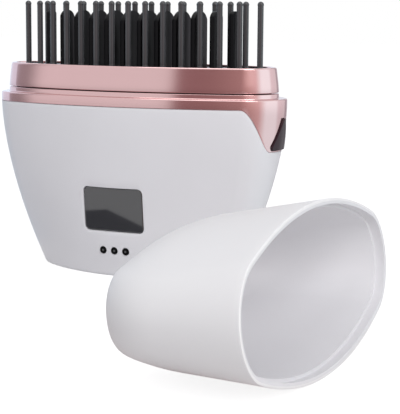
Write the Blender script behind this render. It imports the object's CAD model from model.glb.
import math

import bmesh
import bpy
from mathutils import Matrix, Vector


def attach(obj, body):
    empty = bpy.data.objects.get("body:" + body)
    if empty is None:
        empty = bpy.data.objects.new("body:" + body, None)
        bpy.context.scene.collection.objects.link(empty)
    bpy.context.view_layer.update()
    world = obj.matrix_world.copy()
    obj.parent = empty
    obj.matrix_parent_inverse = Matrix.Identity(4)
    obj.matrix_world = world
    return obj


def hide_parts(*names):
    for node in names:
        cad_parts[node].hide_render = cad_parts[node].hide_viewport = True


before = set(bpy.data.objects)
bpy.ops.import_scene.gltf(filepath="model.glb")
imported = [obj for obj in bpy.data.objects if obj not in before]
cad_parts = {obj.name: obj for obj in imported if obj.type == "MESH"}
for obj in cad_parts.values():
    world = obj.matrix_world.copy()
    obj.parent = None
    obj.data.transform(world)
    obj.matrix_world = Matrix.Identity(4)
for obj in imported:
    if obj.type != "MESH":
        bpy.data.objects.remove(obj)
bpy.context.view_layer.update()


# Camera
# A long lens stands to the right of the screen side, less than half a metre away. The height
# is a compromise: the photograph joins a level view of the comb to a steeper one of the cap.
camera_turn = math.radians(27.82)
camera_rise = math.radians(6.0)
camera_roll = math.radians(-0.12)
camera_reach = 0.45
camera_aim = Vector((0, 0, 0.037))
picture_w, picture_h, film = 400, 414, 36
focal_px = 1386.7
aim_px = (139.8, 155.75)
back = Vector((math.sin(camera_turn) * math.cos(camera_rise),
               -math.cos(camera_turn) * math.cos(camera_rise), math.sin(camera_rise)))
right = Vector((math.cos(camera_turn), math.sin(camera_turn), 0))
look = Matrix((right, back.cross(right), back))
look = Matrix.Rotation(camera_roll, 3, "Z") @ look
ray = Vector(((aim_px[0] - picture_w / 2) / focal_px, -(aim_px[1] - picture_h / 2) / focal_px, -1))
look = Vector((0, 0, -1)).rotation_difference(ray).to_matrix() @ look
camera_data = bpy.data.cameras.new("camera")
camera_data.sensor_width = film
camera_data.lens = focal_px * film / max(picture_w, picture_h)
camera_data.clip_start = 0.01
camera_data.clip_end = 10
camera = bpy.data.objects.new("camera", camera_data)
bpy.context.collection.objects.link(camera)
place = look.transposed().to_4x4()
place.translation = camera_aim + camera_reach * back
camera.matrix_world = place
bpy.context.scene.camera = camera
bpy.context.scene.view_settings.view_transform = "Standard"


# Chassis
# The grey moulded frame inside: a deck under the comb, a spine for the boards and a shelf
# for the cells. Glass-filled plastic, with the faint mottling of its fibres.
def link(tree, source, target):
    """Joins one node's output to another's input."""
    tree.links.new(source, target)


def plastic(name, colour, rough, grain=0.0004, depth=0.25, mottle=0.04, metal=0.0, coat=0.0,
            ior=1.5):
    """A moulded or plated finish: a fine grain in the surface and a slow change of tone."""
    mat = bpy.data.materials.new(name)
    mat.use_nodes = True
    tree = mat.node_tree
    shader = tree.nodes["Principled BSDF"]
    where = tree.nodes.new("ShaderNodeTexCoord")
    fine = tree.nodes.new("ShaderNodeTexNoise")
    fine.inputs["Scale"].default_value = 1 / grain
    fine.inputs["Detail"].default_value = 3
    slow = tree.nodes.new("ShaderNodeTexNoise")
    slow.inputs["Scale"].default_value = 60
    slow.inputs["Detail"].default_value = 4
    tone = tree.nodes.new("ShaderNodeValToRGB")
    tone.color_ramp.elements[0].position = 0.3
    tone.color_ramp.elements[1].position = 0.7
    tone.color_ramp.elements[0].color = [c * (1 - mottle) for c in colour] + [1]
    tone.color_ramp.elements[1].color = [min(1, c * (1 + mottle)) for c in colour] + [1]
    sheen = tree.nodes.new("ShaderNodeMapRange")
    sheen.inputs["To Min"].default_value = max(0.02, rough - 0.04)
    sheen.inputs["To Max"].default_value = min(1, rough + 0.04)
    bump = tree.nodes.new("ShaderNodeBump")
    bump.inputs["Strength"].default_value = depth
    bump.inputs["Distance"].default_value = 0.00004
    link(tree, where.outputs["Object"], fine.inputs["Vector"])
    link(tree, where.outputs["Object"], slow.inputs["Vector"])
    link(tree, slow.outputs["Fac"], tone.inputs["Fac"])
    link(tree, slow.outputs["Fac"], sheen.inputs["Value"])
    link(tree, fine.outputs["Fac"], bump.inputs["Height"])
    link(tree, tone.outputs["Color"], shader.inputs["Base Color"])
    link(tree, sheen.outputs["Result"], shader.inputs["Roughness"])
    link(tree, bump.outputs["Normal"], shader.inputs["Normal"])
    shader.inputs["IOR"].default_value = ior
    shader.inputs["Metallic"].default_value = metal
    shader.inputs["Coat Weight"].default_value = coat
    shader.inputs["Coat Roughness"].default_value = 0.08
    return mat


def finish_node(node, mat):
    """Gives a carried-over CAD node its finish."""
    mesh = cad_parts[node].data
    mesh.materials.clear()
    mesh.materials.append(mat)


finish_node("chassis", plastic("chassis_grey", (0.33, 0.34, 0.36), 0.5, mottle=0.1))


# Cells and foam
# Two flat pouch cells in aluminium foil stand on the shelf behind the spine.
# A pad of dark open-cell foam holds them against the rear shell.
finish_node("battery_cells", plastic("cell_foil", (0.55, 0.58, 0.62), 0.34, grain=0.0012,
                                     depth=0.5, metal=0.9))
finish_node("battery_foam", plastic("foam_grey", (0.05, 0.05, 0.055), 0.95, grain=0.0007, depth=1))


# Boards, chips and screws
# Green solder mask on glass fibre. The chips are black moulded packages with a dull top.
# The screws, the heaters' pressure plate, the switch and the charging socket are plain steel.
solder_mask = plastic("solder_mask", (0.02, 0.16, 0.07), 0.3, grain=0.0009, mottle=0.2, coat=0.3)
for board in ("main_board", "display_board", "switch_board"):
    finish_node(board, solder_mask)
chip_black = plastic("chip_black", (0.02, 0.02, 0.021), 0.55)
finish_node("control_chips", chip_black)
finish_node("display_header", chip_black)
finish_node("indicator_leds", plastic("lamp_white", (0.8, 0.78, 0.68), 0.35))
plain_steel = plastic("plain_steel", (0.6, 0.6, 0.61), 0.28, grain=0.0003, metal=1)
for node in ("board_screws", "tray_screws", "pressure_screws", "pressure_plate",
             "button_switch", "usb_socket", "base_screws"):
    finish_node(node, plain_steel)


# Heater stack
# A heat-proof tray carries the comb block. A steel plate with an amber insulating film on it
# is screwed up against three ceramic heater plates and presses them to the block. A glass
# temperature sensor and a brass fuse lie under the block's two ends.
finish_node("heater_tray", plastic("tray_grey", (0.2, 0.2, 0.21), 0.6, mottle=0.12))
finish_node("ptc_heaters", plastic("heater_ceramic", (0.76, 0.72, 0.63), 0.7, grain=0.0006))
finish_node("insulation_sheet", plastic("amber_film", (0.5, 0.22, 0.03), 0.22, coat=0.4))
finish_node("thermistor", plastic("sensor_bead", (0.7, 0.62, 0.45), 0.25, coat=0.5))
finish_node("thermal_fuse", plastic("fuse_brass", (0.62, 0.45, 0.2), 0.3, metal=0.9))
finish_node("heater_leads", plastic("lead_sleeve", (0.36, 0.03, 0.03), 0.5))


# Heated comb
# One aluminium casting with a black ceramic coat: a block under the cover, with twelve thin
# blades on it, arched at the top. They end a little below the tips of the guard tines that
# they stand between, and heat the hair.
shoulder_top, lip_top, cover_top = 57.0, 58.5, 65.75
pitch, row_y, row_bow, row_tines = 5.97, 8.0, 7.6, 15
tine_d, tine_h, bead_d, foot_d = 1.85, 20.85, 2.0, 2.2
row_mid = (row_tines - 1) / 2
row_end = row_mid * pitch
blade_t, blade_gap, blade_drop, blade_root = 1.4, 0.525, 3.0, 0.5
arch_ratio, arch_steps = 1.18, 20
blade_top = cover_top + tine_h - blade_drop
block_in, block_low, block_top = 7.0, lip_top - 0.1, lip_top + 4.5


def row_at(x):
    """Half the distance between the two rows of guard tines, which close in at the ends."""
    return row_y - row_bow * (x / row_end) ** 2


def blade_half(x):
    """Half the width of a blade, which leaves a gap beside the tines of both rows."""
    return row_at(x) - tine_d / 2 - blade_gap


def soften(mesh, degrees):
    """Smooth shading, with the edges over this angle left crisp."""
    work = bmesh.new()
    work.from_mesh(mesh)
    for face in work.faces:
        face.smooth = True
    for edge in work.edges:
        edge.smooth = len(edge.link_faces) == 2 and edge.calc_face_angle(0) < math.radians(degrees)
    work.to_mesh(mesh)
    work.free()


def settle(thing):
    """Makes the shape that a piece's modifiers give it its own mesh, and clears them."""
    bpy.context.view_layer.update()
    seen = bpy.context.evaluated_depsgraph_get()
    made = bpy.data.meshes.new_from_object(thing.evaluated_get(seen))
    thing.modifiers.clear()
    thing.data = made


def piece(name, points, faces, mat, degrees=35, bevel=0.0, cuts=(), joined=()):
    """A closed mesh from points in millimetres, with holes cut and its edges broken."""
    mesh = bpy.data.meshes.new(name)
    mesh.from_pydata([[c * 0.001 for c in p] for p in points], [], faces)
    mesh.validate()
    work = bmesh.new()
    work.from_mesh(mesh)
    bmesh.ops.remove_doubles(work, verts=work.verts, dist=1e-7)
    bmesh.ops.recalc_face_normals(work, faces=work.faces)
    work.to_mesh(mesh)
    work.free()
    thing = bpy.data.objects.new(name, mesh)
    bpy.context.collection.objects.link(thing)
    mesh.materials.append(mat)
    for other in (*joined, *cuts):
        change = thing.modifiers.new("change", "BOOLEAN")
        change.operation = "UNION" if other in joined else "DIFFERENCE"
        change.solver = "EXACT"
        change.object = other
    if bevel:
        edge = thing.modifiers.new("edge", "BEVEL")
        edge.width = bevel * 0.001
        edge.segments = 2
        edge.limit_method = "ANGLE"
        edge.angle_limit = math.radians(38)
    if cuts or joined or bevel:
        settle(thing)
        thing.data.name = name
    for other in (*joined, *cuts):
        bpy.data.objects.remove(other)
    soften(thing.data, degrees)
    return thing


def prism(points, low, high):
    """Points and faces of a straight plate from a flat outline, between two heights."""
    n = len(points)
    corners = [(x, y, low) for x, y in points] + [(x, y, high) for x, y in points]
    faces = [(i, (i + 1) % n, n + (i + 1) % n, n + i) for i in range(n)]
    faces += [tuple(range(n - 1, -1, -1)), tuple(range(n, 2 * n))]
    return corners, faces


def blade_side(half):
    """Outline of one blade seen along X: straight sides and an arched top."""
    reach = arch_ratio * half
    turn = math.asin(1 / arch_ratio)
    arch = [(reach * math.sin(a), blade_top - reach + reach * math.cos(a))
            for a in [turn - 2 * turn * i / arch_steps for i in range(arch_steps + 1)]]
    return [(-half, block_top - blade_root), (half, block_top - blade_root)] + arch


end_steps, side_steps = 36, 26


def lens_loop(inset, w=50.0, d=20.4, r=13.9):
    """Outline of the body at the shoulder, drawn in by an inset: two wide side arcs joined
    by two end arcs, all tangent. It starts at the right-hand end and goes round by the front."""
    w, d, r = w - inset, d - inset, r - inset
    wide = ((w - r) ** 2 + d * d - r * r) / (2 * (d - r))
    joint = math.atan2(wide - d, w - r)
    quarter = []
    for i in range(end_steps + 1):
        a = joint * i / end_steps
        quarter.append((w - r + r * math.cos(a), r * math.sin(a)))
    for i in range(1, side_steps + 1):
        a = joint + (math.pi / 2 - joint) * i / side_steps
        quarter.append((wide * math.cos(a), wide * math.sin(a) - wide + d))
    front = [(x, -y) for x, y in quarter] + [(-x, -y) for x, y in quarter[-2::-1]]
    return front + [(-x, -y) for x, y in front[1:-1]]


ceramic_coat = plastic("ceramic_coat", (0.004, 0.004, 0.005), 0.36, grain=0.0003, depth=0.15,
                       ior=1.2)
blade_at = [(k - row_mid + 0.5) * pitch for k in range(row_tines - 1)]
blade_at = [x for x in blade_at if blade_half(x) > blade_t]
points, faces = [], []
for x in blade_at:
    corners, sides = prism(blade_side(blade_half(x)), x - blade_t / 2, x + blade_t / 2)
    faces += [tuple(len(points) + i for i in face) for face in sides]
    points += [(c, a, b) for a, b, c in corners]
blades = piece("blades", points, faces, ceramic_coat)
corners, faces = prism(lens_loop(block_in), block_low, block_top)
comb = piece("comb", corners, faces, ceramic_coat, bevel=0.25, joined=[blades])
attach(comb, "body")
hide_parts("heating_comb")


# Comb cover and guard tines
# A hollow satin dark-grey moulding of heat-proof plastic closes the top, slotted for the
# blades. Its two rows of round tines, with beaded tips, keep the hot blades off the scalp.
def cutter(name, points, low, high):
    """A straight plate that is only there to be cut away from another piece."""
    corners, faces = prism(points, low, high)
    return piece(name, corners, faces, None)


tine_satin = plastic("tine_satin", (0.05, 0.05, 0.054), 0.24, grain=0.0005, depth=0.2, mottle=0.08)
cover_in, cover_wall, cover_t, slot_fit, tine_root, foot_h = 5.0, 1.5, 2.0, 0.2, 0.5, 0.9
cuts = [cutter("hollow", lens_loop(cover_in + cover_wall), lip_top - 1, cover_top - cover_t)]
for x in blade_at:
    half, wide = blade_half(x) + slot_fit, blade_t / 2 + slot_fit
    slot = [(x - wide, -half), (x + wide, -half), (x + wide, half), (x - wide, half)]
    cuts.append(cutter("slot", slot, cover_top - 2 * cover_t, cover_top + cover_t))
corners, faces = prism(lens_loop(cover_in), lip_top + 0.05, cover_top)
cover = piece("comb_cover", corners, faces, tine_satin, bevel=0.15, cuts=cuts)

places = [(-row_end, 0), (row_end, 0)]
for k in range(1, row_tines - 1):
    x = (k - row_mid) * pitch
    places += [(x, -row_at(x)), (x, row_at(x))]
tine_feet = bpy.data.meshes.new("tine_feet")
foot_z = (cover_top - tine_root) * 0.001
tine_feet.from_pydata([(x * 0.001, y * 0.001, foot_z) for x, y in places], [], [])
tines = bpy.data.objects.new("guard_tines", tine_feet)
bpy.context.collection.objects.link(tines)

tine_tree = bpy.data.node_groups.new("tine_on_each_foot", "GeometryNodeTree")
tine_tree.interface.new_socket("Geometry", in_out="INPUT", socket_type="NodeSocketGeometry")
tine_tree.interface.new_socket("Geometry", in_out="OUTPUT", socket_type="NodeSocketGeometry")
tine_inputs = {}
for label, size in (("Tine diameter", tine_d), ("Tine height", tine_h + tine_root),
                    ("Bead diameter", bead_d), ("Foot diameter", foot_d)):
    socket = tine_tree.interface.new_socket(label, in_out="INPUT", socket_type="NodeSocketFloat")
    tine_inputs[label] = (socket.identifier, size * 0.001)
socket = tine_tree.interface.new_socket("Finish", in_out="INPUT", socket_type="NodeSocketMaterial")
tine_inputs["Finish"] = (socket.identifier, tine_satin)


def add_node(tree, kind, **settings):
    """A new node, with its own settings made."""
    node = tree.nodes.new(kind)
    for key, value in settings.items():
        setattr(node, key, value)
    return node


inside = add_node(tine_tree, "NodeGroupInput")
outside = add_node(tine_tree, "NodeGroupOutput")
rod = add_node(tine_tree, "GeometryNodeMeshCylinder")
foot = add_node(tine_tree, "GeometryNodeMeshCone")
for shape in (rod, foot):
    shape.inputs["Vertices"].default_value = 28
foot.inputs["Depth"].default_value = (tine_root + foot_h) * 0.001
ball = add_node(tine_tree, "GeometryNodeMeshUVSphere")
ball.inputs["Segments"].default_value = 28
ball.inputs["Rings"].default_value = 18
for label, shapes in (("Tine diameter", ((rod, "Radius"), (foot, "Radius Top"))),
                      ("Bead diameter", ((ball, "Radius"),)),
                      ("Foot diameter", ((foot, "Radius Bottom"),))):
    halved = add_node(tine_tree, "ShaderNodeMath", operation="MULTIPLY")
    halved.inputs[1].default_value = 0.5
    link(tine_tree, inside.outputs[label], halved.inputs[0])
    for shape, size in shapes:
        link(tine_tree, halved.outputs[0], shape.inputs[size])
bead_at = add_node(tine_tree, "ShaderNodeMath", operation="MULTIPLY_ADD")
bead_at.inputs[1].default_value = -0.5
link(tine_tree, inside.outputs["Bead diameter"], bead_at.inputs[0])
link(tine_tree, inside.outputs["Tine height"], bead_at.inputs[2])
rod_mid = add_node(tine_tree, "ShaderNodeMath", operation="MULTIPLY")
rod_mid.inputs[1].default_value = 0.5
link(tine_tree, bead_at.outputs[0], rod_mid.inputs[0])
link(tine_tree, bead_at.outputs[0], rod.inputs["Depth"])
both = add_node(tine_tree, "GeometryNodeJoinGeometry")
for shape, height in ((rod, rod_mid), (ball, bead_at)):
    lift = add_node(tine_tree, "ShaderNodeCombineXYZ")
    move = add_node(tine_tree, "GeometryNodeTransform")
    link(tine_tree, height.outputs[0], lift.inputs["Z"])
    link(tine_tree, lift.outputs[0], move.inputs["Translation"])
    link(tine_tree, shape.outputs["Mesh"], move.inputs["Geometry"])
    link(tine_tree, move.outputs["Geometry"], both.inputs["Geometry"])
link(tine_tree, foot.outputs["Mesh"], both.inputs["Geometry"])
spread = add_node(tine_tree, "GeometryNodeInstanceOnPoints")
real = add_node(tine_tree, "GeometryNodeRealizeInstances")
paint = add_node(tine_tree, "GeometryNodeSetMaterial")
link(tine_tree, inside.outputs["Geometry"], spread.inputs["Points"])
link(tine_tree, both.outputs["Geometry"], spread.inputs["Instance"])
link(tine_tree, spread.outputs["Instances"], real.inputs["Geometry"])
link(tine_tree, real.outputs["Geometry"], paint.inputs["Geometry"])
link(tine_tree, inside.outputs["Finish"], paint.inputs["Material"])
link(tine_tree, paint.outputs["Geometry"], outside.inputs["Geometry"])
grow = tines.modifiers.new("grow", "NODES")
grow.node_group = tine_tree
for identifier, value in tine_inputs.values():
    grow[identifier] = value
settle(tines)
soften(tines.data, 40)
for thing in (cover, tines):
    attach(thing, "body")
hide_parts("guard_comb")


# Collar ring
# A pressed aluminium ring, rose-gold plated and satin bright, round the comb cover.
# It draws in slightly towards its rounded top edge.
def ring_faces(count, size, open_at=None):
    """Faces from each ring of points to the next and back to the first, but for one gap."""
    return [(i * size + j, i * size + (j + 1) % size,
             (i + 1) % count * size + (j + 1) % size, (i + 1) % count * size + j)
            for i in range(count) if i != open_at for j in range(size)]


def loft(name, rings, mat, **options):
    """A closed skin through equal rings of points."""
    points = [p for ring in rings for p in ring]
    return piece(name, points, ring_faces(len(rings), len(rings[0])), mat, **options)


def corner(start, bend, end, steps=5):
    """Points of a rounded corner between two points of a section, pulled to the bend."""
    curve = []
    for i in range(steps + 1):
        t = i / steps
        curve.append(tuple((1 - t) ** 2 * a + 2 * t * (1 - t) * b + t * t * c
                           for a, b, c in zip(start, bend, end)))
    return curve


rose_gold = plastic("rose_gold", (0.68, 0.46, 0.46), 0.14, grain=0.0006, depth=0.05,
                    mottle=0.015, metal=1)
ring_low, ring_top, ring_in, ring_draft, ring_wall = 58.8, 66.5, 2.6, 0.8, 1.5
top_in = ring_in + ring_draft
bore_in = top_in + ring_wall
section = (corner((ring_low, ring_in + 0.25), (ring_low, ring_in), (ring_low + 0.25, ring_in), 3)
           + [(ring_low + 3, ring_in + 0.24)]
           + corner((ring_top - 0.8, top_in - 0.05), (ring_top, top_in),
                    (ring_top, top_in + 0.6), 6)
           + corner((ring_top, bore_in - 0.25), (ring_top, bore_in), (ring_top - 0.3, bore_in), 3)
           + [(ring_low, bore_in)])
collar = loft("collar", [[(x, y, z) for x, y in lens_loop(inset)] for z, inset in section],
              rose_gold, degrees=45)
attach(collar, "body")
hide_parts("collar_ring")


# Shoulder trim
# The same rose-gold plating on a moulded part that shows as a band above the white shells,
# as the ledge under the collar and as the end panel round the button.
body = {"w": 100.0, "d": 40.8, "r": 13.9, "h": shoulder_top, "base_w": 68.0, "base_d": 32.4,
        "base_r": 7.8, "power": 1.7, "wall": 2.0, "band": 3.1, "notch": 40.8}
shell_top = body["h"] - body["band"]
straight_from, notch_flat = body["h"] - 2, 0.3
around = 4 * (end_steps + side_steps)


def taper(z):
    """How far the body has drawn in at a height: nought at the shoulder and one at the base."""
    return (max(0.0, straight_from - z) / straight_from) ** body["power"]


def body_loop(z, inset):
    """The body's outline at one height, drawn in by an inset."""
    t = taper(z)
    return lens_loop(inset, body["w"] / 2 - (body["w"] - body["base_w"]) / 2 * t,
                     body["d"] / 2 - (body["d"] - body["base_d"]) / 2 * t,
                     body["r"] - (body["r"] - body["base_r"]) * t)


def edge_height(i):
    """Height of the white shells' top edge, which dips to a notch round the right-hand end."""
    t = (min(i, around - i) / end_steps - notch_flat) / (1 - notch_flat)
    t = min(1.0, max(0.0, t))
    return body["notch"] + (shell_top - body["notch"]) * t * t * (3 - 2 * t)


def around_rings(section_at):
    """Rings that follow the outline: section_at(i) gives each ring's heights and insets."""
    sections = [section_at(i) for i in range(around)]
    cache = {}
    rings = []
    for k in range(len(sections[0])):
        ring = []
        for i in range(around):
            z, inset = sections[i][k]
            key = (round(z, 4), round(inset, 4))
            if key not in cache:
                cache[key] = body_loop(z, inset)
            x, y = cache[key][i]
            ring.append((x, y, z))
        rings.append(ring)
    return rings


seam, ledge_in, lip_in = 0.05, 2.6, 5.5
skirt_out, skirt_in, skirt_low, skirt_drop = 2.15, 3.55, 46.05, 4


def trim_section(i):
    """The trim's section as (height, inset): seam, band, ledge, lip, and the skirt inside."""
    low, ledge, lip = edge_height(i) + seam, body["h"], lip_top
    skirt = min(skirt_low, edge_height(i) - skirt_drop)
    path = corner((low, 0.2), (low, 0.0), (low + 0.2, 0.0), 3)
    path += [(low + (straight_from - low) * k / 10, 0.0) for k in range(1, 10)]
    path += corner((ledge - 0.6, 0.0), (ledge, 0.0), (ledge, 0.6), 5)
    path += corner((ledge, ledge_in - 0.4), (ledge, ledge_in), (ledge + 0.35, ledge_in), 3)
    path += corner((lip - 0.3, ledge_in), (lip, ledge_in), (lip, ledge_in + 0.3), 3)
    path += [(lip, lip_in), (lip - 2, lip_in), (lip - 3.5, skirt_in), (skirt + 0.5, skirt_in),
             (skirt, skirt_in - 0.3), (skirt, skirt_out), (low - 1, skirt_out), (low, skirt_out)]
    return path


def shield(grow, foot, steps=8):
    """Outline of the button: a rounded shield, wide at its foot, as (y, z) points."""
    half, high, foot_r, tip_r = 4.8, 9.8, 0.9, 0.6
    low_c, top_c = (half - foot_r, foot_r), (0.0, high - tip_r)
    lean = math.atan2(low_c[0] - top_c[0], top_c[1] - low_c[1])
    lean += math.asin((foot_r - tip_r) / math.dist(low_c, top_c))
    radius, tip = foot_r + grow, tip_r + grow
    side = [(low_c[0] + radius * math.sin(a), low_c[1] - radius * math.cos(a))
            for a in [(math.pi / 2 + lean) * i / steps for i in range(steps + 1)]]
    side += [(top_c[0] + tip * math.cos(a), top_c[1] + tip * math.sin(a))
             for a in [lean + (math.pi / 2 - lean) * i / 5 for i in range(6)]]
    return [(y, foot + z) for y, z in side] + [(-y, foot + z) for y, z in side[-2::-1]]


button_foot, button_fit, end_wall = body["notch"] + 0.55, 0.2, (38, 52)
corners, faces = prism(shield(button_fit, button_foot), *end_wall)
button_hole = piece("button_hole", [(x, y, z) for y, z, x in corners], faces, None)
rings = around_rings(trim_section)
rings = [list(column) for column in zip(*rings)]
trim = loft("trim", rings, rose_gold, degrees=38, cuts=[button_hole])
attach(trim, "body")
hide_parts("shoulder_trim")


# White shells
# Two injection-moulded halves in fine satin white, parted down the two ends.
# Their top edge is thin and slightly rounded where it meets the plated trim.
def shell_section(i):
    """A shell's section as (height, inset): rounded foot, outer face, top edge, inner face."""
    top = edge_height(i)
    share = top / shell_top
    foot_up, foot_in = 1.3, 0.9
    outer = [(foot_up * (1 - math.cos(a)), foot_in * (1 - math.sin(a)))
             for a in [math.pi / 2 * k / 6 for k in range(7)]]
    outer += [(z * share, 0.0) for z in range(4, 53, 3)]
    outer += corner((top - 0.2, 0.0), (top, 0.0), (top, 0.2), 3)
    inner = [(z, body["wall"]) for z, inset in outer[::-2]]
    return outer + inner


def shell_half(name, mat, side, cuts=()):
    """One half of the body, drawn on the front side and turned over for the rear."""
    half, parting = around // 2 + 1, 0.05
    rings = around_rings(shell_section)
    columns = [[(x, min(y, -parting), z) for x, y, z in column]
               for column in list(zip(*rings))[:half]]
    size = len(columns[0])
    points = [(x, y * side, z) for column in columns for x, y, z in column]
    faces = [(i * size + j, (i + 1) * size + j,
              (i + 1) * size + (j + 1) % size, i * size + (j + 1) % size)
             for i in range(half - 1) for j in range(size)]
    faces += [tuple(range(size)), tuple((half - 1) * size + j for j in range(size - 1, -1, -1))]
    return piece(name, points, faces, mat, degrees=38, bevel=0.1, cuts=cuts)


def rounded(w, h, r, steps=8):
    """Outline of a rectangle with rounded corners."""
    outline = []
    for cx, cy, start in ((w / 2 - r, h / 2 - r, 0), (r - w / 2, h / 2 - r, 90),
                          (r - w / 2, r - h / 2, 180), (w / 2 - r, r - h / 2, 270)):
        for i in range(steps + 1):
            a = math.radians(start + 90 * i / steps)
            outline.append((cx + r * math.cos(a), cy + r * math.sin(a)))
    return outline


window = {"w": 20.8, "h": 13.9, "z": 21.5, "r": 1.5, "recess": 0.95, "glass": 2.0}


def half_depth(z):
    """Half the body's depth at a height, which is where its sloping front face stands."""
    return body["d"] / 2 - (body["d"] - body["base_d"]) / 2 * taper(z)


window_tilt = math.atan2(half_depth(window["z"] + 5) - half_depth(window["z"] - 5), 10)


def on_window(points):
    """Stands flat points square to the sloping front face: x across, y up, z outwards."""
    turn = Matrix.Rotation(math.pi / 2 + window_tilt, 3, "X")
    middle = Vector((0, -half_depth(window["z"]), window["z"]))
    return [tuple(turn @ Vector(p) + middle) for p in points]


hole_fit, hole_reach, front_wall = 0.2, 6, (8, 22)
hole = rounded(window["w"] + 2 * hole_fit, window["h"] + 2 * hole_fit, window["r"] + hole_fit)
corners, faces = prism(hole, -hole_reach, hole_reach)
cuts = [piece("window_hole", on_window(corners), faces, None)]
lens = {"d": 2.1, "pitch": 4.0, "z": 8.4}
for k in (-1, 0, 1):
    reach = lens["d"] / 2 + hole_fit
    ring = [(k * lens["pitch"] + reach * math.cos(a), lens["z"] + reach * math.sin(a))
            for a in [math.tau * i / 40 for i in range(40)]]
    corners, faces = prism(ring, *front_wall)
    cuts.append(piece("lens_hole", [(x, -y, z) for x, z, y in corners], faces, None))
satin_white = plastic("satin_white", (0.80, 0.795, 0.82), 0.42, grain=0.00025, depth=0.12,
                      mottle=0.008)
front = shell_half("front_half", satin_white, 1, cuts)
rear = shell_half("rear_half", satin_white, -1)
for thing, node in ((front, "front_shell"), (rear, "rear_shell")):
    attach(thing, "body")
    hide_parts(node)
finish_node("base_plate", satin_white)


# Screen
# Dark tinted glass with a ground edge, set just below the face of the front shell.
# The unlit panel behind it is left plain.
smoked_glass = plastic("smoked_glass", (0.022, 0.022, 0.025), 0.05, grain=0.002, depth=0.0,
                       mottle=0.05, ior=2.05)
corners, faces = prism(rounded(window["w"], window["h"], window["r"]),
                       -window["recess"] - window["glass"], -window["recess"])
glass = piece("screen_glass", on_window(corners), faces, smoked_glass, degrees=20, bevel=0.3)
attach(glass, "body")
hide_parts("display_window")
finish_node("display_panel", plastic("panel_dark", (0.02, 0.02, 0.024), 0.2))


# Indicator lenses
# Three short light pipes in black-tinted clear plastic, domed a little at the front.
# They carry the light of the lamps on the main board, each of which shows as a grey spot.
lens_black = plastic("lens_black", (0.006, 0.006, 0.007), 0.12, grain=0.002, depth=0.0, ior=1.25)
spot_grey, spot_dark, spot_inner, spot_outer = 0.12, 0.006, 0.0002, 0.00045
tree = lens_black.node_tree
where, parts = tree.nodes["Texture Coordinate"], tree.nodes.new("ShaderNodeSeparateXYZ")
half_pitch = lens["pitch"] / 2000
across = add_node(tree, "ShaderNodeMath", operation="WRAP")
across.inputs[1].default_value, across.inputs[2].default_value = -half_pitch, half_pitch
up = add_node(tree, "ShaderNodeMath", operation="SUBTRACT")
up.inputs[1].default_value = lens["z"] / 1000
flat = tree.nodes.new("ShaderNodeCombineXYZ")
away = add_node(tree, "ShaderNodeVectorMath", operation="LENGTH")
spot = add_node(tree, "ShaderNodeMapRange", interpolation_type="SMOOTHSTEP")
for socket, value in (("From Min", spot_inner), ("From Max", spot_outer),
                      ("To Min", spot_grey), ("To Max", spot_dark)):
    spot.inputs[socket].default_value = value
link(tree, where.outputs["Object"], parts.inputs["Vector"])
link(tree, parts.outputs["X"], across.inputs[0])
link(tree, parts.outputs["Z"], up.inputs[0])
link(tree, across.outputs[0], flat.inputs["X"])
link(tree, up.outputs[0], flat.inputs["Z"])
link(tree, flat.outputs["Vector"], away.inputs[0])
link(tree, away.outputs["Value"], spot.inputs["Value"])
link(tree, spot.outputs["Result"], tree.nodes["Principled BSDF"].inputs["Base Color"])
finish_node("indicator_lenses", lens_black)


# Button
# A glossy plum-black shield on the button end, slightly rounded and just proud of the
# trim. Its flange behind the trim stops it, and a small plunger works the switch.
plum_gloss = plastic("plum_gloss", (0.03, 0.012, 0.018), 0.12, grain=0.002, depth=0.0, ior=1.3)
finish_node("power_button", plum_gloss)
finish_node("switch_plunger", chip_black)


# Cap
# A deep oval cap moulded in one piece, satin white outside and a little greyer inside,
# with a thin step inside its rim. It has been taken off and lies on its long side.
cap = {"h": 40.0, "wall": 1.9, "side_w": 88.0, "side_d": 36.0, "top_w": 60.0, "top_d": 20.0,
       "top_r": 9.5, "side": 0.6, "lip_h": 2.6, "lip": 1.4, "turn": 91.0, "x": 100.0, "y": -98.5}
cap_slope = math.atan((body["d"] - cap["side_d"]) / 2 / (cap["side"] * cap["h"]))


def cap_half(rim, side, top, t):
    """A half size at a share t of the height: straight from rim to side, then rounded in."""
    slope = (side - rim) / cap["side"]
    over = max(0.0, t - cap["side"]) / (1 - cap["side"])
    return (rim + slope * t + (top - rim - slope) * (1 - math.sqrt(max(0.0, 1 - over * over)))) / 2


def cap_outline(t, inset):
    """The cap's outline at a share t of its height, drawn in by an inset."""
    w = cap_half(body["w"], cap["side_w"], cap["top_w"], t)
    d = cap_half(body["d"], cap["side_d"], cap["top_d"], t)
    r = min(body["r"] + (cap["top_r"] - body["r"]) * t, 0.9 * d)
    return lens_loop(0, w - inset, d - inset, max(2.0, r - inset))


# Shares of the cap's height, closer together where it rounds in to its top.
levels = [0.012, 0.05, 0.12, 0.2, 0.3, 0.4, 0.5, 0.6, 0.66, 0.72, 0.78, 0.83, 0.87, 0.905, 0.935,
          0.96, 0.978, 0.99, 0.997, 1.0]
rings = [[(x, y, 0.0) for x, y in cap_outline(0, cap["lip"] * 0.5)],
         [(x, y, 0.0) for x, y in cap_outline(0, 0.3)],
         [(x, y, 0.1) for x, y in cap_outline(0, 0.08)]]
rings += [[(x, y, t * cap["h"]) for x, y in cap_outline(t, 0)] for t in levels]
top_at = len(rings) - 1
inner_h = cap["h"] - cap["wall"]
inside = [[(x, y, t * inner_h) for x, y in cap_outline(t, cap["wall"])]
          for t in levels if t * inner_h > cap["lip_h"] + 0.1]
mouth = [[(x, y, cap["lip_h"]) for x, y in cap_outline(0.07, cap["wall"])],
         [(x, y, cap["lip_h"]) for x, y in cap_outline(0, cap["lip"])],
         [(x, y, 0.15) for x, y in cap_outline(0, cap["lip"])]]
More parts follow.
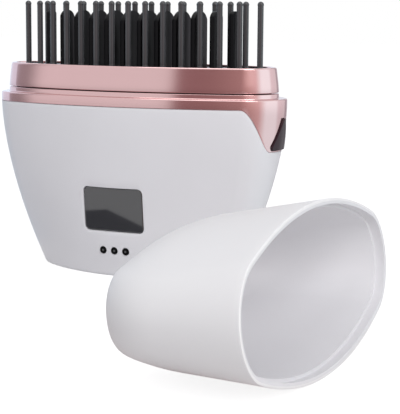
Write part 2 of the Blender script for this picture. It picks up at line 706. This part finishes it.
rings += inside[::-1] + mouth
size = len(rings[0])
points = [p for ring in rings for p in ring]
faces = ring_faces(len(rings), size, top_at)
faces += [tuple(ring * size + j for j in range(size)) for ring in (top_at, top_at + 1)]
lying = (Matrix.Translation((cap["x"], cap["y"], body["d"] / 2 * math.cos(cap_slope)))
         @ Matrix.Rotation(math.radians(cap["turn"]), 4, "Z")
         @ Matrix.Rotation(-math.pi / 2 - cap_slope, 4, "X"))
cap_white = plastic("cap_white", (0.885, 0.88, 0.885), 0.5, grain=0.00025, depth=0.12,
                    mottle=0.006, ior=1.36)
cap_piece = piece("cap", [tuple(lying @ Vector(p)) for p in points], faces, cap_white, degrees=40)
cap_piece.data.materials.append(plastic("cap_inside", (0.78, 0.775, 0.795), 0.46, grain=0.00025,
                                        depth=0.12, mottle=0.006))
for face in cap_piece.data.polygons:
    if top_at * size <= face.index < len(faces) - 2 or face.index == len(faces) - 1:
        face.material_index = 1
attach(cap_piece, "cap")
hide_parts("cap_shell")


# Floor and light
# A plain white table that keeps only a soft shadow, under an even sky and three soft lamps.
# A curved card, seen only in reflections, gives the plated metal its bright and dark fields,
# and a dark sheet on the table gives the screen the same.
def seen_plainly(tree):
    """One where the camera, a reflection or a clear piece looks, and nought for the light."""
    path = tree.nodes.new("ShaderNodeLightPath")
    total = path.outputs["Is Camera Ray"]
    for kind in ("Is Glossy Ray", "Is Transmission Ray"):
        both = add_node(tree, "ShaderNodeMath", operation="MAXIMUM")
        link(tree, total, both.inputs[0])
        link(tree, path.outputs[kind], both.inputs[1])
        total = both.outputs[0]
    return total


def stage_piece(name, points, faces, mat):
    """A flat or curved sheet that belongs to the scene round the object, in metres."""
    mesh = bpy.data.meshes.new(name)
    mesh.from_pydata(points, [], faces)
    mesh.materials.append(mat)
    thing = bpy.data.objects.new(name, mesh)
    bpy.context.collection.objects.link(thing)
    return thing


table_white = bpy.data.materials.new("table_white")
table_white.use_nodes = True
tree = table_white.node_tree
bounce = tree.nodes["Principled BSDF"]
bounce.inputs["Base Color"].default_value = (0.74, 0.74, 0.74, 1)
bounce.inputs["Roughness"].default_value = 0.9
shade = tree.nodes.new("ShaderNodeBsdfDiffuse")
shade.inputs["Color"].default_value = (0.42, 0.42, 0.42, 1)
glow = tree.nodes.new("ShaderNodeEmission")
glow.inputs["Strength"].default_value = 0.86
both = tree.nodes.new("ShaderNodeAddShader")
mix = tree.nodes.new("ShaderNodeMixShader")
link(tree, shade.outputs["BSDF"], both.inputs[0])
link(tree, glow.outputs["Emission"], both.inputs[1])
link(tree, seen_plainly(tree), mix.inputs["Fac"])
link(tree, bounce.outputs["BSDF"], mix.inputs[1])
link(tree, both.outputs["Shader"], mix.inputs[2])
link(tree, mix.outputs["Shader"], tree.nodes["Material Output"].inputs["Surface"])
stage_piece("floor", [(-3, -3, 0), (3, -3, 0), (3, 3, 0), (-3, 3, 0)], [(0, 1, 2, 3)], table_white)

world = bpy.data.worlds.new("sky")
bpy.context.scene.world = world
world.use_nodes = True
tree = world.node_tree
sky = tree.nodes["Background"]
sky.inputs["Color"].default_value = (0.96, 0.95, 1, 1)
sky.inputs["Strength"].default_value = 0.37
backdrop = tree.nodes.new("ShaderNodeBackground")
backdrop.inputs["Color"].default_value = (1, 1, 1, 1)
backdrop.inputs["Strength"].default_value = 1
mix = tree.nodes.new("ShaderNodeMixShader")
link(tree, seen_plainly(tree), mix.inputs["Fac"])
link(tree, sky.outputs["Background"], mix.inputs[1])
link(tree, backdrop.outputs["Background"], mix.inputs[2])
link(tree, mix.outputs["Shader"], tree.nodes["World Output"].inputs["Surface"])

# Places round the card in degrees from straight ahead of the screen, right is positive.
card_tones = ((-178, (0.8, 0.8, 0.82)), (-150, (0.95, 1.12, 1.3)), (-77, (0.95, 1.12, 1.3)),
              (-74, (0.39, 0.35, 0.38)), (-68, (0.38, 0.35, 0.37)), (-61, (0.95, 0.94, 0.96)),
              (-5, (0.97, 0.97, 0.98)), (-1, (0.36, 0.22, 0.23)), (12, (0.38, 0.24, 0.24)),
              (40, (0.68, 0.47, 0.45)), (68, (0.92, 0.72, 0.71)), (86, (1.3, 1.55, 1.6)),
              (116, (1.3, 1.55, 1.6)), (124, (1.05, 1.1, 1.15)), (152, (0.95, 0.98, 1.02)),
              (160, (0.5, 0.48, 0.52)), (178, (0.6, 0.58, 0.64)))
card_reach, card_near, card_low, card_top, sheet_z = 0.36, 0.05, 0.0005, 0.3, 0.0008
card_turns = range(-178, 179, 2)
card_points = []
for turn in card_turns:
    a = math.radians(turn)
    for reach, z in ((card_near, card_low), (card_reach, card_low), (card_reach, card_top)):
        card_points.append((reach * math.sin(a), -reach * math.cos(a), z))
card_faces = [(3 * k + j, 3 * k + 3 + j, 3 * k + 4 + j, 3 * k + 1 + j)
              for k in range(len(card_turns) - 1) for j in (0, 1)]


def glow_only(name):
    """A finish that only gives off light, for what reflections alone see."""
    mat = bpy.data.materials.new(name)
    mat.use_nodes = True
    tree = mat.node_tree
    tree.nodes.remove(tree.nodes["Principled BSDF"])
    glow = tree.nodes.new("ShaderNodeEmission")
    link(tree, glow.outputs["Emission"], tree.nodes["Material Output"].inputs["Surface"])
    return mat, tree, glow


card_finish, tree, glow = glow_only("card_tones")
where = tree.nodes.new("ShaderNodeTexCoord")
parts = tree.nodes.new("ShaderNodeSeparateXYZ")
flip = add_node(tree, "ShaderNodeMath", operation="MULTIPLY")
flip.inputs[1].default_value = -1
turn = add_node(tree, "ShaderNodeMath", operation="ARCTAN2")
share = tree.nodes.new("ShaderNodeMapRange")
share.inputs["From Min"].default_value = -math.pi
share.inputs["From Max"].default_value = math.pi
tones = tree.nodes.new("ShaderNodeValToRGB")
while len(tones.color_ramp.elements) < len(card_tones):
    tones.color_ramp.elements.new(0.5)
for element, (angle, colour) in zip(tones.color_ramp.elements, card_tones):
    element.position = (angle + 180) / 360
    element.color = (*colour, 1)
link(tree, where.outputs["Object"], parts.inputs["Vector"])
link(tree, parts.outputs["Y"], flip.inputs[0])
link(tree, parts.outputs["X"], turn.inputs[0])
link(tree, flip.outputs[0], turn.inputs[1])
link(tree, turn.outputs[0], share.inputs["Value"])
link(tree, share.outputs["Result"], tones.inputs["Fac"])
link(tree, tones.outputs["Color"], glow.inputs["Color"])
dimmed = tree.nodes.new("ShaderNodeMapRange")
dimmed.inputs["From Max"].default_value = 0.05
dimmed.inputs["To Min"].default_value = 0.8
link(tree, parts.outputs["Z"], dimmed.inputs["Value"])
link(tree, dimmed.outputs["Result"], glow.inputs["Strength"])
sheet_grey, tree, glow = glow_only("sheet_grey")
glow.inputs["Color"].default_value = (0.16, 0.16, 0.18, 1)
sheet_corners = ((-0.1, -0.02), (-0.1, -0.051), (-0.036, -0.075), (0.02, -0.038), (0.02, -0.02))
sheet = stage_piece("sheet", [(x, y, sheet_z) for x, y in sheet_corners], [(0, 1, 2, 3, 4)],
                    sheet_grey)
for thing in (stage_piece("card", card_points, card_faces, card_finish), sheet):
    thing.visible_camera = thing.visible_diffuse = False
    thing.visible_transmission = thing.visible_shadow = False


def lamp(name, spot, aim, size, watts, colour=(1, 1, 1)):
    """A rectangular soft lamp at a spot, turned to the point that it is aimed at."""
    data = bpy.data.lights.new(name, "AREA")
    data.shape = "RECTANGLE"
    data.size, data.size_y = size
    data.energy = watts
    data.color = colour
    thing = bpy.data.objects.new(name, data)
    bpy.context.collection.objects.link(thing)
    thing.location = spot
    thing.rotation_euler = (Vector(aim) - Vector(spot)).to_track_quat("-Z", "Y").to_euler()


lamp("key", (0.65, -0.55, 0.5), (0.04, -0.03, 0.03), (0.5, 0.6), 4.6)
lamp("fill", (-0.7, -0.6, 0.35), (0, 0, 0.04), (0.6, 0.6), 0.5, (0.97, 0.94, 1))
lamp("top", (0.0, -0.1, 0.9), (0, 0, 0.04), (0.7, 0.5), 1.8)
